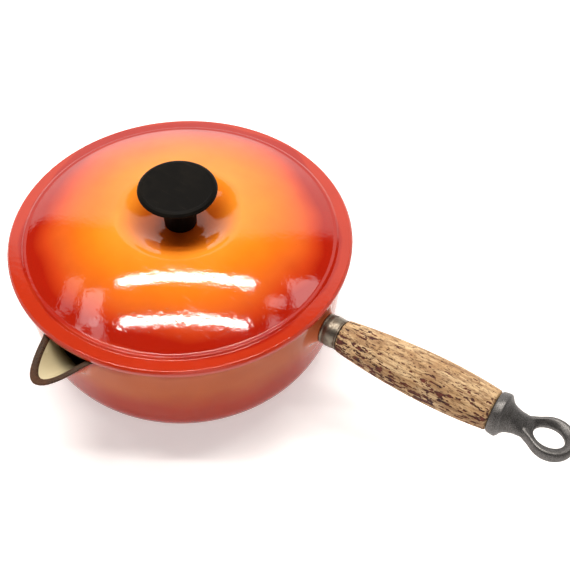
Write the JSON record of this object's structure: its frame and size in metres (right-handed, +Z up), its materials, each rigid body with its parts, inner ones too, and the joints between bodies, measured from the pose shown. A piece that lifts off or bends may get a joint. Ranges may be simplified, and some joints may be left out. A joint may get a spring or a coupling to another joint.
{
  "type": "saucepan",
  "caption": "Lidded enamelled cast iron saucepan with a pouring lip, a round knob, and a turned wooden handle that ends in a hanging loop.",
  "frame": {"origin": "centre of the flat base, on the surface that the pan stands on", "axes": "+Z up along the axis of the pan, lid and knob; +X out over the handle; the pouring lip points along -Y, turned 0.3 degrees away from the handle"},
  "size_m": [0.3709, 0.2394, 0.1284],
  "materials": {
    "enamelled_iron": "gloss vitreous enamel, orange shading to deep red outside, cream inside, bare iron on the rims",
    "phenolic": "moulded black phenolic, satin",
    "brass": "machined",
    "steel": "machined and plated",
    "ferrule_metal": "tarnished, dull",
    "wood": "worn oiled hardwood, pitted along the grain",
    "bare_iron": "bare sand casting, dark grey"
  },
  "bodies": {
    "pan": {"pan_body": "enamelled_iron"},
    "lid": {"lid_body": "enamelled_iron", "knob": "phenolic", "knob_insert": "brass"},
    "grip": {"wooden_grip": "wood", "ferrule": "ferrule_metal"},
    "rod": {"tie_rod": "steel", "hanging_loop": "bare_iron"},
    "washer": {"knob_washer": "steel"},
    "screw": {"knob_screw": "steel"}
  },
  "joints": [
    {"name": "lid_lift", "type": "slide", "parent": "pan", "child": "lid", "axis": [0, 0, 1], "range_m": [0, 0.12]},
    {"name": "grip_slide", "type": "slide", "parent": "pan", "child": "grip", "axis": [0.9986, 0, 0.0523], "range_m": [0, 0.00875]},
    {"name": "rod_turn", "type": "hinge", "parent": "grip", "child": "rod", "pos_m": [0.1075, 0, 0.0704], "axis": [0.9986, 0, 0.0523], "range_deg": [0, 2521]},
    {"name": "washer_drop", "type": "slide", "parent": "lid", "child": "washer", "axis": [0, 0, -1], "range_m": [0, 0.009]},
    {"name": "screw_turn", "type": "hinge", "parent": "washer", "child": "screw", "pos_m": [0, 0, 0.09], "axis": [0, 0, -1], "range_deg": [0, 3241]}
  ],
  "couplings": [
    {"joint": "rod_turn", "follows": "grip_slide", "rad_per_m": 5026.5},
    {"joint": "screw_turn", "follows": "washer_drop", "rad_per_m": 6283.2}
  ]
}
